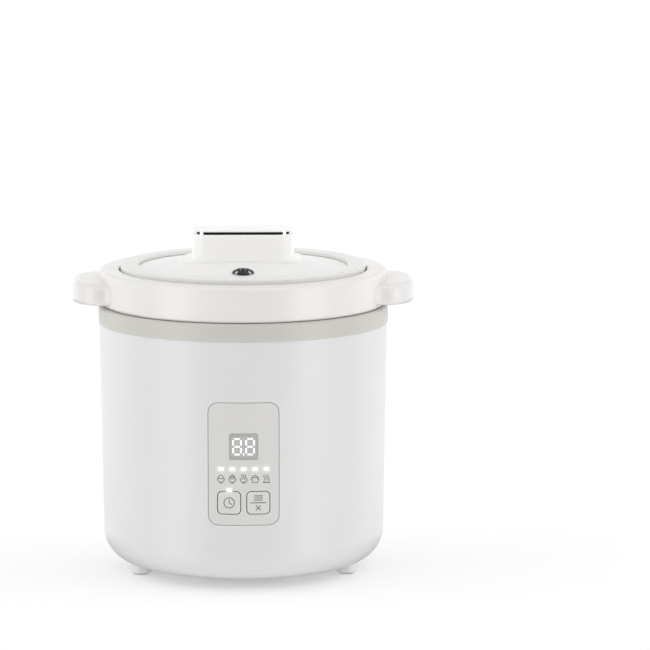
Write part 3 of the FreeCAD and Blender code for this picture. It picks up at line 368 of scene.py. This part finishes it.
def vent_chrome():
    """Vent cap plated dark as a painted dark reflection, with four small bosses painted bright as painted highlights.
    """
    mat, t, s = start("vent_chrome")
    coord = t.new("ShaderNodeTexCoord")
    split = t.new("ShaderNodeSeparateXYZ")
    t.put(split.inputs[0], coord.outputs["Object"])
    deep = t.math("ADD", split.outputs[1], 0.0560)
    wide = t.math("SUBTRACT", 0.0036, t.math("MULTIPLY", deep, 0.27))
    off_x = t.math("SUBTRACT", t.math("ABSOLUTE", split.outputs[0]), wide)
    off_y = t.math("SUBTRACT", t.math("ABSOLUTE", deep), 0.0050)
    far = t.math("SQRT", t.math("ADD", t.math("MULTIPLY", off_x, off_x), t.math("MULTIPLY", off_y, off_y)))
    # four bright round spots: painted highlights on the bosses, which also carry a small bump
    boss_and_highlight = t.step(far, 0.0008, 0.0014, 1.0, 0.0)
    stain = t.noise(t.place(), 320.0, 3.0, 0.6)
    # dark base colour: painted dark reflection on the plated cap, varied by random stain tone
    dark = t.mix(t.step(stain, 0.3, 0.7), rgb(50, 50, 52), rgb(64, 64, 66))
    t.put(s.inputs["Base Color"], t.mix(boss_and_highlight, dark, rgb(240, 241, 242)))
    s.inputs["Metallic"].default_value = 1.0
    t.put(s.inputs["Roughness"], t.step(stain, 0.3, 0.7, 0.10, 0.15))
    t.put(s.inputs["Normal"], t.bump(t.math("ADD", boss_and_highlight, t.math("MULTIPLY", stain, 0.1)), 0.25, 0.0004))
    return mat


def wound(name):
    """Transformer: taped winding with a steel lamination stack round it."""
    mat, t, s = start(name)
    coord = t.new("ShaderNodeTexCoord")
    split = t.new("ShaderNodeSeparateXYZ")
    t.put(split.inputs[0], coord.outputs["Object"])
    sheets = t.math("PINGPONG", t.math("FRACT", t.math("MULTIPLY", split.outputs[1], 1800.0)), 0.5)
    off = t.math("ABSOLUTE", t.math("ADD", split.outputs[1], 0.003))
    core = t.step(off, 0.01095, 0.01105, 1.0, 0.0)
    tape = t.mix(t.step(t.noise(t.place(), 260.0, 3.0), 0.35, 0.7), rgb(214, 176, 60), rgb(190, 150, 44))
    steel = t.mix(t.step(sheets, 0.0, 0.35), rgb(70, 70, 74), rgb(132, 132, 136))
    t.put(s.inputs["Base Color"], t.mix(core, tape, steel))
    t.put(s.inputs["Metallic"], t.math("MULTIPLY", core, 0.85))
    t.put(s.inputs["Roughness"], t.step(core, 0.0, 1.0, 0.38, 0.5))
    t.put(s.inputs["Normal"], t.bump(t.math("MULTIPLY", sheets, core), 0.3, 0.0002))
    return mat


# ------------------------------------------------------------------ finishes
WHITE = rgb(233, 233, 233)
casing = moulded("casing_white", rgb(223, 223, 223), rough=0.36, vary=0.008, relief=0.035)
taupe = moulded("ring_taupe", rgb(202, 200, 194), rough=0.40, vary=0.014, relief=0.05, seed=0.4)
lid_white = moulded("lid_white", rgb(238, 237, 236), rough=0.32, vary=0.006, relief=0.02, seed=0.9)
rim_white = moulded("rim_white", rgb(233, 232, 230), rough=0.38, vary=0.008, relief=0.04, seed=1.3)
knob_white = moulded("knob_white", rgb(250, 249, 247), rough=0.32, vary=0.005, relief=0.02, seed=1.9)
panel_grey = moulded("panel_grey", rgb(218, 217, 214), rough=0.34, vary=0.008, relief=0.03, seed=2.4)
key_grey = moulded("key_grey", rgb(220, 219, 216), rough=0.33, vary=0.008, relief=0.03, seed=2.9)
foot_white = moulded("foot_white", rgb(230, 230, 230), rough=0.42, vary=0.014, relief=0.06, seed=3.3)
base_white = moulded("base_white", rgb(222, 222, 220), rough=0.5, vary=0.02, relief=0.09, grain=900.0, seed=3.8)
inlet_black = moulded("inlet_black", rgb(46, 46, 48), rough=0.44, vary=0.06, relief=0.08, grain=1100.0, seed=4.2)
part_black = moulded("part_black", rgb(38, 38, 41), rough=0.4, vary=0.06, relief=0.05, seed=4.6)
relay_blue = moulded("relay_blue", rgb(44, 78, 128), rough=0.35, vary=0.04, relief=0.04, seed=5.1)
block_green = moulded("block_green", rgb(70, 128, 92), rough=0.4, vary=0.04, relief=0.05, seed=5.5)
silicone = moulded("seal_silicone", rgb(226, 226, 222), rough=0.5, vary=0.012, relief=0.05, soft=0.3, seed=5.9)
chrome = metal("chrome", rgb(226, 228, 230), rough=0.05, vary=0.015, relief=0.006)
silver = moulded("silver_plate", rgb(248, 247, 246), rough=0.34, vary=0.010, relief=0.02, seed=7.1)
steel = metal("plated_steel", rgb(196, 197, 198), rough=0.3, vary=0.05, relief=0.05)
well_steel = metal("well_steel", rgb(204, 203, 200), rough=0.34, along="z", vary=0.04, relief=0.05)
cast_alu = metal("cast_aluminium", rgb(190, 191, 193), rough=0.42, turned=True, vary=0.06, relief=0.10, spots=0.2)
spun_alu = metal("spun_aluminium", rgb(206, 207, 208), rough=0.3, turned=True, vary=0.05, relief=0.08)
sheath = metal("heater_sheath", rgb(104, 98, 92), rough=0.5, vary=0.10, relief=0.08, spots=0.4)
spring_steel = metal("spring_steel", rgb(150, 152, 156), rough=0.26, vary=0.05, relief=0.04)
nickel = metal("nickel", rgb(206, 202, 190), rough=0.22, along=None, vary=0.03, relief=0.03)
pad_rubber = rubber("pad_rubber", rgb(150, 150, 150))
lit_digit = lamp("lit_digit", rgb(250, 250, 250), rgb(255, 255, 255), 0.30)
lit_window = lamp("lit_window", rgb(250, 250, 248), rgb(255, 255, 253), 0.26)
led_body = lamp("led_body", rgb(250, 246, 220), rgb(255, 250, 236), 1.5)
window_grey = smoked("window_grey", rgb(176, 175, 174))
row_low, row_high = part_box("mode_lights")
row_half = (row_high[0] - row_low[0] - 4 * 0.0081) / 2.0
row_z, row_tall = (row_low[2] + row_high[2]) / 2.0, (row_high[2] - row_low[2]) / 2.0
key_low, key_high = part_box("preset_light")
spots = [(0.0081 * k, row_z, row_half, row_tall) for k in (-2, -1, 0, 1, 2)]
spots.append(((key_low[0] + key_high[0]) / 2.0, (key_low[2] + key_high[2]) / 2.0,
              (key_high[0] - key_low[0]) / 2.0, (key_high[2] - key_low[2]) / 2.0))
light_spill(panel_grey, spots, 0.0022, 0.10)
light_spill(key_grey, spots[5:], 0.0022, 0.10)
digit_low, digit_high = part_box("digit_segments")
digit_mid = (digit_low[0] + digit_high[0]) / 2.0
digit_half = (digit_high[0] - digit_low[0]) / 4.0 - 0.0004
light_spill(window_grey, [(digit_mid + k * (digit_half + 0.0004), (digit_low[2] + digit_high[2]) / 2.0, digit_half,
                           (digit_high[2] - digit_low[2]) / 2.0) for k in (-1, 1)], 0.0022, 0.075)
board = circuit("board_green")
pot_glaze = glaze()

FINISH = {
    "outer_housing": casing, "top_ring": taupe, "inner_liner": well_steel, "liner_screws": steel,
    "heating_plate": cast_alu, "heater_element": sheath, "heater_bolts": steel, "heater_nuts": steel,
    "sensor_cap": spun_alu, "thermistor": part_black, "sensor_bracket": steel, "sensor_spring": spring_steel,
    "thermal_fuse": nickel, "base_cover": base_white, "base_screws": steel, "feet": foot_white,
    "foot_pads": pad_rubber, "mains_inlet": inlet_black, "inlet_pins": nickel, "power_board": board,
    "board_screws": steel, "transformer": wound("transformer_wound"), "relay": relay_blue, "capacitor": part_black,
    "terminal_block": block_green, "heater_leads": two_leads("heater_wire", rgb(196, 188, 170), rgb(150, 60, 48)),
    "mains_leads": two_leads("mains_wire", rgb(104, 66, 44), rgb(60, 96, 160)), "panel_ribbon": flat_cable(),
    "control_panel": panel_grey, "mode_lights": lit_window, "preset_light": lit_window,
    "display_window": window_grey, "digit_segments": lit_digit, "preset_button": key_grey,
    "menu_button": key_grey, "display_board": board, "panel_screws": steel, "led_display": part_black,
    "key_switches": part_black, "status_leds": led_body, "inner_pot": pot_glaze, "pot_collar": pot_glaze,
    "lid_panel": lid_white,
    "lid_rim": rim_white, "lid_seal": silicone, "handle_base": knob_white, "lid_handle": knob_white,
    "handle_trim": chrome, "handle_top": silver, "handle_screws": steel, "steam_vent": vent_chrome(),
}
for name, obj in nodes.items():
    obj.data.materials.clear()
    obj.data.materials.append(FINISH[name])

# ------------------------------------------------------------------ printed marks
MM = 0.001


def side_rad(z):
    # casing side, millimetres
    return 102.2 + 2.8 * (z - 6.0) / 176.0


def on_side(x, z, off):
    r = side_rad(z) + off
    return Vector((x * MM, -math.sqrt(r * r - x * x) * MM, z * MM))


def arc(cx, cy, rx, ry, a0, a1, n=14):
    pts = []
    for i in range(n + 1):
        a = math.radians(a0 + (a1 - a0) * i / n)
        pts.append((cx + rx * math.cos(a), cy + ry * math.sin(a)))
    return pts


def wavy(x, y0, y1, sway, n=12):
    return [(x + sway * math.sin(2.0 * math.pi * i / n), y0 + (y1 - y0) * i / n) for i in range(n + 1)]


def fine_steps(pts, gap=0.6):
    # extra points on long runs, so that the print follows the curved face
    out = [pts[0]]
    for a, b in zip(pts, pts[1:]):
        n = max(1, int(math.hypot(b[0] - a[0], b[1] - a[1]) / gap))
        out += [(a[0] + (b[0] - a[0]) * i / n, a[1] + (b[1] - a[1]) * i / n) for i in range(1, n + 1)]
    return out


def print_strokes(name, strokes, wide, mid, body, mat, proud=0.035, sunk=0.05):
    """Flat inked strokes with round ends, laid on the casing's curved side."""
    bm = bmesh.new()
    half = wide / 2.0
    for pts in strokes:
        pts = fine_steps(pts)
        closed = math.hypot(pts[0][0] - pts[-1][0], pts[0][1] - pts[-1][1]) < 1e-6
        if closed:
            pts = pts[:-1]
        n = len(pts)
        left, right = [], []
        for i, p in enumerate(pts):
            if closed:
                a, b = pts[i - 1], pts[(i + 1) % n]
            else:
                a, b = pts[max(0, i - 1)], pts[min(n - 1, i + 1)]
            dx, dy = b[0] - a[0], b[1] - a[1]
            size = math.hypot(dx, dy) or 1.0
            nx, ny = -dy / size * half, dx / size * half
            left.append((p[0] + nx, p[1] + ny))
            right.append((p[0] - nx, p[1] - ny))
        if closed:
            rings = list(zip(left, right))
            outline = None
        else:
            def cap(i, sign):
                p = pts[i]
                q = pts[i + 1] if sign < 0 else pts[i - 1]
                base = math.atan2(p[1] - q[1], p[0] - q[0])
                return [(p[0] + half * math.cos(base + math.radians(d)), p[1] + half * math.sin(base + math.radians(d)))
                        for d in (-60, -30, 0, 30, 60)]
            outline = list(right) + cap(n - 1, 1) + list(reversed(left)) + cap(0, -1)
        if outline is not None:
            top = [bm.verts.new(on_side(mid[0] + x, mid[1] + z, proud)) for x, z in outline]
            low = [bm.verts.new(on_side(mid[0] + x, mid[1] + z, -sunk)) for x, z in outline]
            m = len(outline)
            # strip between the two edges, then the two round ends
            for ring, flip in ((top, False), (low, True)):
                for i in range(n - 1):
                    j = n + 5
                    quad = [ring[i], ring[i + 1], ring[j + (n - 1) - (i + 1)], ring[j + (n - 1) - i]]
                    bm.faces.new(quad[::-1] if flip else quad)
                end_a = [ring[n - 1]] + [ring[n + k] for k in range(5)] + [ring[n + 5]]
                end_b = [ring[2 * n + 4]] + [ring[2 * n + 5 + k] for k in range(5)] + [ring[0]]
                bm.faces.new(end_a[::-1] if flip else end_a)
                bm.faces.new(end_b[::-1] if flip else end_b)
            for i in range(m):
                k = (i + 1) % m
                bm.faces.new((low[i], low[k], top[k], top[i]))
        else:
            tl = [bm.verts.new(on_side(mid[0] + x, mid[1] + z, proud)) for x, z in left]
            tr = [bm.verts.new(on_side(mid[0] + x, mid[1] + z, proud)) for x, z in right]
            ll = [bm.verts.new(on_side(mid[0] + x, mid[1] + z, -sunk)) for x, z in left]
            lr = [bm.verts.new(on_side(mid[0] + x, mid[1] + z, -sunk)) for x, z in right]
            for i in range(n):
                k = (i + 1) % n
                bm.faces.new((tr[i], tr[k], tl[k], tl[i]))
                bm.faces.new((ll[i], ll[k], lr[k], lr[i]))
                bm.faces.new((tl[i], tl[k], ll[k], ll[i]))
                bm.faces.new((lr[i], lr[k], tr[k], tr[i]))
    bmesh.ops.recalc_face_normals(bm, faces=bm.faces)
    mesh = bpy.data.meshes.new(name)
    bm.to_mesh(mesh)
    bm.free()
    mesh.materials.append(mat)
    obj = bpy.data.objects.new(name, mesh)
    scene.collection.objects.link(obj)
    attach(obj, body)
    return obj


ink = moulded("print_ink", rgb(108, 107, 106), rough=0.5, vary=0.05, relief=0.05, grain=2600.0, seed=6.4)

bowl = [arc(0, 0.1, 2.5, 2.7, 180, 360), [(-2.5, 0.1), (2.5, 0.1)], [(-1.0, -3.0), (1.0, -3.0)]]
heap = [arc(0, 0.1, 2.0, 2.3, 0, 180)]
grains = [arc(x, y, 0.42, 0.8, 0, 360, 10) for x, y in ((-1.35, 1.5), (0.0, 2.2), (1.35, 1.5))]
steam = [wavy(x, 0.9, 3.1, 0.32) for x in (-1.2, 0.0, 1.2)]
pot = [[(-2.1, 0.9), (-2.1, -2.2)], arc(-1.5, -2.2, 0.6, 0.6, 180, 270, 5), [(-1.5, -2.8), (1.5, -2.8)],
       arc(1.5, -2.2, 0.6, 0.6, 270, 360, 5), [(2.1, -2.2), (2.1, 0.9)], [(-2.6, 0.9), (2.6, 0.9)],
       arc(0, 0.9, 1.9, 1.3, 0, 180), [(0.0, 2.2), (0.0, 2.8)], [(-2.9, -0.4), (-2.1, -0.4)], [(2.1, -0.4), (2.9, -0.4)]]
warm = [[(-2.4, -2.9), (2.4, -2.9)], arc(0, -1.9, 2.0, 0.9, 180, 360)] + [wavy(x, -1.2, 2.7, 0.5) for x in (-1.5, 0.0, 1.5)]
LEGENDS = (("mark_white_rice", bowl + heap), ("mark_whole_grain", bowl + grains), ("mark_soup", bowl + steam),
           ("mark_porridge", pot), ("mark_keep_warm", warm))
for i, (name, strokes) in enumerate(LEGENDS):
    print_strokes(name, strokes, 0.46, ((i - 2) * 8.1, 83.6), "cooker_body", ink)

clock = [arc(0, 0, 3.7, 3.7, 0, 360, 36), [(0.0, 2.4), (0.0, 0.0), (1.8, -1.1)]]
print_strokes("mark_timer", clock, 0.62, (-10.4, 66.15), "preset_key", ink)
menu = [[(-2.9, 5.0), (2.9, 5.0)], [(-2.9, 3.5), (2.9, 3.5)], [(-2.9, 2.0), (2.9, 2.0)]]
stop = [[(-1.6, -2.1), (1.6, -5.3)], [(-1.6, -5.3), (1.6, -2.1)]]
print_strokes("mark_menu", menu + [[(-5.4, 0.0), (5.4, 0.0)]] + stop, 0.62, (10.4, 66.15), "menu_key", ink)

# ------------------------------------------------------------------ sensor spring
def coil(name, low, high, wire, turns, mat, body, around=10, steps=40):
    """Round wire wound in a helix about the upright axis, flat closed ends."""
    ring = (high[0] - low[0]) / 2.0 - wire - 0.0004
    foot, head = low[2] + wire, high[2] - wire
    bm = bmesh.new()
    loops = []
    total = turns * steps
    for k in range(total + 1):
        a = 2.0 * math.pi * k / steps
        out_dir = Vector((math.cos(a), math.sin(a), 0.0))
        along = Vector((-math.sin(a) * ring, math.cos(a) * ring, (head - foot) / (2.0 * math.pi * turns))).normalized()
        up = out_dir.cross(along) * -1.0
        mid = out_dir * ring + Vector((0.0, 0.0, foot + (head - foot) * k / total))
        loops.append([bm.verts.new(mid + out_dir * wire * math.cos(b) + up * wire * math.sin(b))
                      for b in (2.0 * math.pi * j / around for j in range(around))])
    for one, two in zip(loops, loops[1:]):
        for j in range(around):
            n = (j + 1) % around
            bm.faces.new((one[j], one[n], two[n], two[j]))
    bm.faces.new(loops[0])
    bm.faces.new(loops[-1][::-1])
    bmesh.ops.recalc_face_normals(bm, faces=bm.faces)
    mesh = bpy.data.meshes.new(name)
    bm.to_mesh(mesh)
    bm.free()
    for face in mesh.polygons:
        face.use_smooth = len(face.vertices) == 4
    mesh.materials.append(mat)
    obj = bpy.data.objects.new(name, mesh)
    scene.collection.objects.link(obj)
    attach(obj, body)
    return obj


spring_low, spring_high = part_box("sensor_spring")
spring = coil("sensor_coil", spring_low, spring_high, 0.00068, 5, spring_steel, "cooker_body")
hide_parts("sensor_spring")
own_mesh(spring)

# ------------------------------------------------------------------ floor
bm = bmesh.new()
span = 24.0
grid = 24
verts = [[bm.verts.new((-span + 2 * span * i / grid, -span + 2 * span * j / grid, -0.0004)) for j in range(grid + 1)]
         for i in range(grid + 1)]
for i in range(grid):
    for j in range(grid):
        bm.faces.new((verts[i][j], verts[i + 1][j], verts[i + 1][j + 1], verts[i][j + 1]))
mesh = bpy.data.meshes.new("floor")
bm.to_mesh(mesh)
bm.free()
floor = bpy.data.objects.new("floor", mesh)
scene.collection.objects.link(floor)
mat, t, s = start("floor_paper")
paper = t.noise(t.place(), 3.0, 3.0, 0.5)
t.put(s.inputs["Base Color"], t.mix(t.step(paper, 0.3, 0.7), (0.72, 0.72, 0.72, 1.0), (0.735, 0.735, 0.735, 1.0)))
s.inputs["Roughness"].default_value = 0.9
s.inputs["Specular IOR Level"].default_value = 0.1
s.inputs["Emission Color"].default_value = (1.0, 1.0, 1.0, 1.0)
s.inputs["Emission Strength"].default_value = 0.29
mesh.materials.append(mat)
floor.visible_glossy = False

# ------------------------------------------------------------------ studio light
world = bpy.data.worlds.new("studio")
scene.world = world
world.use_nodes = True
t = Tree(world.node_tree)
out = t.new("ShaderNodeOutputWorld")
back = t.new("ShaderNodeBackground")
t.tree.links.new(back.outputs[0], out.inputs["Surface"])
coord = t.new("ShaderNodeTexCoord")
split = t.new("ShaderNodeSeparateXYZ")
t.put(split.inputs[0], coord.outputs["Generated"])
turn = t.math("ABSOLUTE", t.math("ARCTAN2", split.outputs[0], t.math("MULTIPLY", split.outputs[1], -1.0)))
rise = t.math("ARCSINE", split.outputs[2])
rad = math.radians


def window(value, a0, a1, b0, b1):
    return t.math("MULTIPLY", t.step(value, rad(a0), rad(a1)), t.step(value, rad(b0), rad(b1), 1.0, 0.0))


# broad light: sides a little brighter than the front, overhead a little dimmer
soft = t.math("MULTIPLY", t.step(turn, rad(12), rad(74), 0.60, 1.72), t.step(turn, rad(104), rad(164), 1.0, 0.52))
soft = t.math("ADD", t.math("MULTIPLY", soft, t.step(rise, rad(20), rad(70), 1.0, 0.0)),
              t.step(rise, rad(20), rad(70), 0.0, 0.80))
# what polished faces see: dark front card, two upright strips, two small lamps and a broad one overhead
hall = t.math("MAXIMUM", t.step(rise, rad(-12), rad(4), 0.9, 0.38), t.math("MULTIPLY", t.step(turn, rad(100), rad(112), 0.0, 1.12),
                                                                            t.step(rise, rad(13), rad(24), 1.0, 0.5)))
low_band = window(rise, -42, -34, 12, 18)
dark = t.math("MULTIPLY", t.step(turn, rad(37), rad(42), 1.0, 0.0), low_band)
flank = t.math("MULTIPLY", window(turn, 68, 73, 96, 104), low_band)
below = t.math("MULTIPLY", t.step(turn, rad(103), rad(110)), window(rise, -60, -50, -17, -12))
strip = t.math("MULTIPLY", window(turn, 42, 46, 64, 69), window(rise, -46, -40, 40, 50))
lamps = t.math("MULTIPLY", window(turn, 14, 19, 34, 40), window(rise, 26, 31, 46, 52))
shiny = t.math("MULTIPLY", hall, t.math("SUBTRACT", 1.0, t.math("MULTIPLY", dark, 0.98)))
shiny = t.math("MULTIPLY", shiny, t.math("SUBTRACT", 1.0, t.math("MULTIPLY", flank, 0.95)))
shiny = t.math("MULTIPLY", shiny, t.math("SUBTRACT", 1.0, t.math("MULTIPLY", below, 0.94)))
shiny = t.math("ADD", shiny, t.math("MULTIPLY", strip, 1.6))
shiny = t.math("ADD", shiny, t.math("MULTIPLY", lamps, 3.5))
shiny = t.math("ADD", shiny, t.step(rise, rad(50), rad(62), 0.0, 0.6))
path = t.new("ShaderNodeLightPath")
gloss = path.outputs["Is Glossy Ray"]
level = t.math("ADD", t.math("MULTIPLY", soft, t.math("SUBTRACT", 1.0, gloss)), t.math("MULTIPLY", shiny, gloss))
eye = path.outputs["Is Camera Ray"]
level = t.math("ADD", t.math("MULTIPLY", level, t.math("SUBTRACT", 1.0, eye)), t.math("MULTIPLY", eye, 1.0))
back.inputs["Color"].default_value = (1.0, 1.0, 1.0, 1.0)
t.put(back.inputs["Strength"], level)

# ------------------------------------------------------------------ camera
cam_data = bpy.data.cameras.new("camera")
cam = bpy.data.objects.new("camera", cam_data)
scene.collection.objects.link(cam)
cam_data.sensor_width = 36.0
cam_data.lens = 251.96
cam.location = (0.0, -3.2885, 0.676)
cam.rotation_euler = (math.radians(90.0 - 8.60), 0.0, math.radians(-1.041))
cam_data.clip_start = 0.05
cam_data.clip_end = 100.0
scene.camera = cam

scene.view_settings.view_transform = "Standard"
scene.view_settings.look = "None"
scene.view_settings.exposure = 0.0
scene.view_settings.gamma = 1.0
